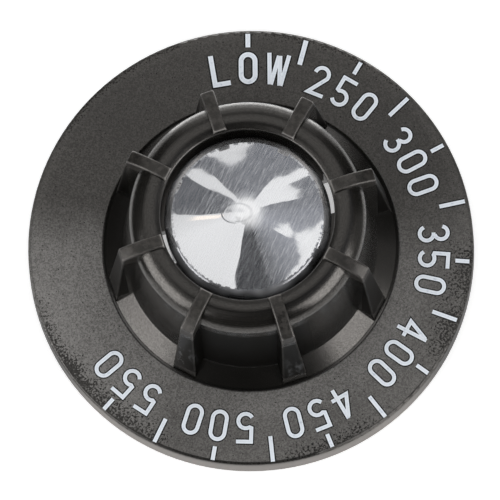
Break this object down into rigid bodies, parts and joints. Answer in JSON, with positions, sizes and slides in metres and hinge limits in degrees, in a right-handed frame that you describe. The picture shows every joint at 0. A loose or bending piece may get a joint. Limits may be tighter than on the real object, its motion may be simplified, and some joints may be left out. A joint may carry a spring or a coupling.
{
  "type": "oven control knob",
  "caption": "Oven control knob: round dial skirt, raised ribbed hub, bright conical metal cap in a well, and a sprung D-shaped socket for the shaft.",
  "frame": {"origin": "on the shaft axis, in the plane of the back rim", "axes": "+Z along the shaft axis, from the panel towards the hand; +Y towards the first mark of the dial, the word LOW; +X to the right of that mark"},
  "size_m": [0.064, 0.064, 0.0263],
  "materials": {
    "black_moulding": "black heat-resisting moulding, satin dial face and glossier hub, white print",
    "bright_cap": "bright rolled sheet with fine straight rolling lines",
    "spring_steel": "dull blued strip",
    "white_print": "stamped cool white print of the dial"
  },
  "bodies": {
    "root": {"knob_body": "black_moulding", "centre_cap": "bright_cap", "shaft_spring": "spring_steel"}
  },
  "joints": []
}
